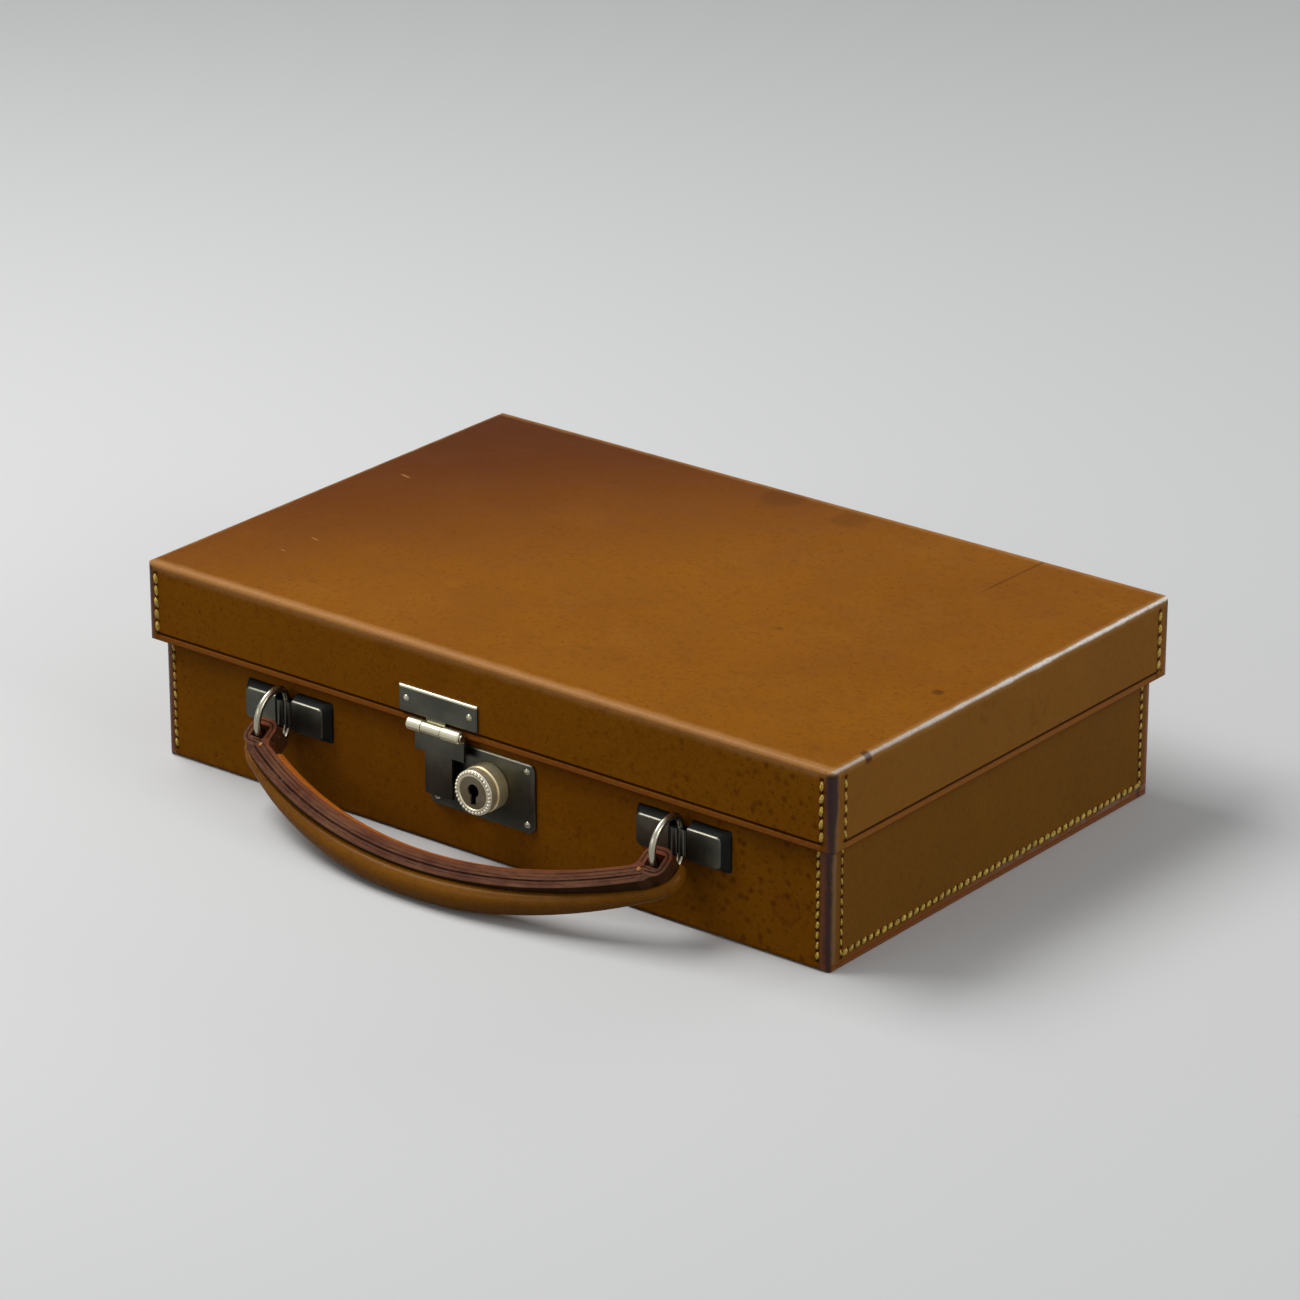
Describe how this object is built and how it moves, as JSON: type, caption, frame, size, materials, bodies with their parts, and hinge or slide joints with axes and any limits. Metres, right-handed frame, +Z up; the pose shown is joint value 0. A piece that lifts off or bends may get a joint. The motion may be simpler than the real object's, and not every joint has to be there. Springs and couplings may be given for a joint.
{
  "type": "leather writing case",
  "caption": "Small rectangular leather attache case for writing things, with a full overlapping hinged lid, hasp and sliding-nozzle lock, and a bow handle on wire rings.",
  "frame": {"origin": "centre of the base's footprint, on the surface that the case stands on", "axes": "+X to the right along the front, +Y from front to back, +Z up; the lock and handle face -Y"},
  "size_m": [0.356, 0.2793, 0.088],
  "materials": {
    "leather": "smooth honey-tan bridle leather, waxed",
    "leather_edge": "burnished cut edges",
    "board": "millboard",
    "lining": "thin skiver lining",
    "nickel": "worn nickel plate"
  },
  "bodies": {
    "case_base": {"base_wrap": "leather", "base_left_end": "leather", "base_right_end": "leather", "base_board": "board", "base_lining": "lining", "lock_plate": "nickel", "lock_rivets": "nickel", "lock_case": "nickel", "lock_spring": "nickel", "handle_plate_left": "nickel", "handle_plate_right": "nickel", "hinge_base_leaves": "nickel", "hinge_pins": "nickel", "hinge_base_rivets": "nickel", "stay_keepers": "nickel"},
    "lid": {"lid_cover": "leather", "lid_board": "board", "lid_lining": "lining", "letter_pocket": "leather", "pen_loops": "leather", "hasp_plate": "nickel", "hasp_plate_pins": "nickel", "hasp_pin": "nickel", "hinge_lid_leaves": "nickel", "hinge_lid_rivets": "nickel", "lid_stays": "nickel"},
    "hasp": {"hasp_leaf": "nickel", "hasp_catch": "nickel"},
    "nozzle": {"nozzle_boss": "nickel", "nozzle_cap": "nickel", "lock_bolt": "nickel"},
    "left_ring": {"ring_left": "nickel"},
    "right_ring": {"ring_right": "nickel"},
    "handle": {"handle_outer_ply": "leather_edge", "handle_inner_ply": "leather_edge", "handle_core": "leather_edge", "handle_roll": "leather", "handle_lining": "leather"}
  },
  "joints": [
    {"name": "lid_hinge", "type": "hinge", "parent": "case_base", "child": "lid", "pos_m": [0, 0.11345, 0.0507], "axis": [-1, 0, 0], "range_deg": [0, 85]},
    {"name": "hasp_hinge", "type": "hinge", "parent": "lid", "child": "hasp", "pos_m": [-0.018, -0.11875, 0.0543], "axis": [-1, 0, 0], "range_deg": [0, 170]},
    {"name": "nozzle_slide", "type": "slide", "parent": "case_base", "child": "nozzle", "axis": [1, 0, 0], "range_m": [0, 0.005], "stiffness_N_per_m": 400, "springref_m": -0.003, "deforming": ["lock_spring"]},
    {"name": "left_ring_swivel", "type": "hinge", "parent": "case_base", "child": "left_ring", "pos_m": [-0.1029, -0.11355, 0.0384], "axis": [0, 0, 1], "range_deg": [-4, 4]},
    {"name": "right_ring_swivel", "type": "hinge", "parent": "case_base", "child": "right_ring", "pos_m": [0.1029, -0.11355, 0.0384], "axis": [0, 0, 1], "range_deg": [-4, 4]},
    {"name": "handle_swing", "type": "hinge", "parent": "case_base", "child": "handle", "pos_m": [0, -0.11975, 0.0384], "axis": [-1, 0, 0], "range_deg": [0, 75]}
  ]
}
